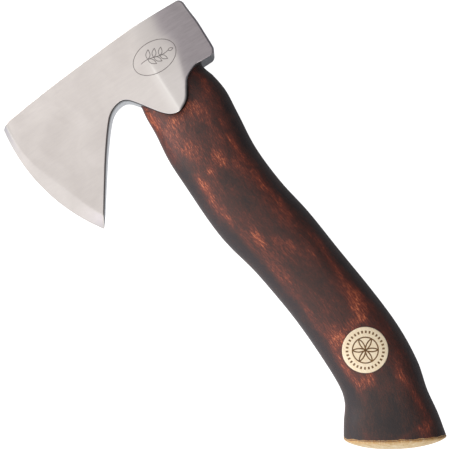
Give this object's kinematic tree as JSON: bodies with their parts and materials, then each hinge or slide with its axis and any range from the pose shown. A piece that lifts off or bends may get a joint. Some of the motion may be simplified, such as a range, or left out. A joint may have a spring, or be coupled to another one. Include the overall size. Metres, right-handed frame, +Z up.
{
  "type": "carving hatchet",
  "caption": "Short one-hand carving hatchet: bearded steel head with lugs and a squared poll on a curved, stained birch handle with a flared butt and a round inlaid badge.",
  "frame": {"origin": "on the surface that the hatchet lies on, under the middle of its bounding box", "axes": "+X from the head to the butt along the handle, +Y from the cutting edge to the poll, +Z up out of the side with the badge"},
  "size_m": [0.2534, 0.1164, 0.027],
  "materials": {
    "head_steel": "satin, finely ground",
    "stained_birch": "dark stained curly birch, oiled to a low sheen",
    "wedge_wood": "raw end grain, oiled",
    "wedge_steel": "ground flush",
    "badge_wood": "pale, sanded smooth, with burnt marks"
  },
  "bodies": {
    "root": {"axe_head": "head_steel", "handle": "stained_birch", "eye_wedge": "wedge_wood", "steel_wedge": "wedge_steel", "badge": "badge_wood"}
  },
  "joints": []
}
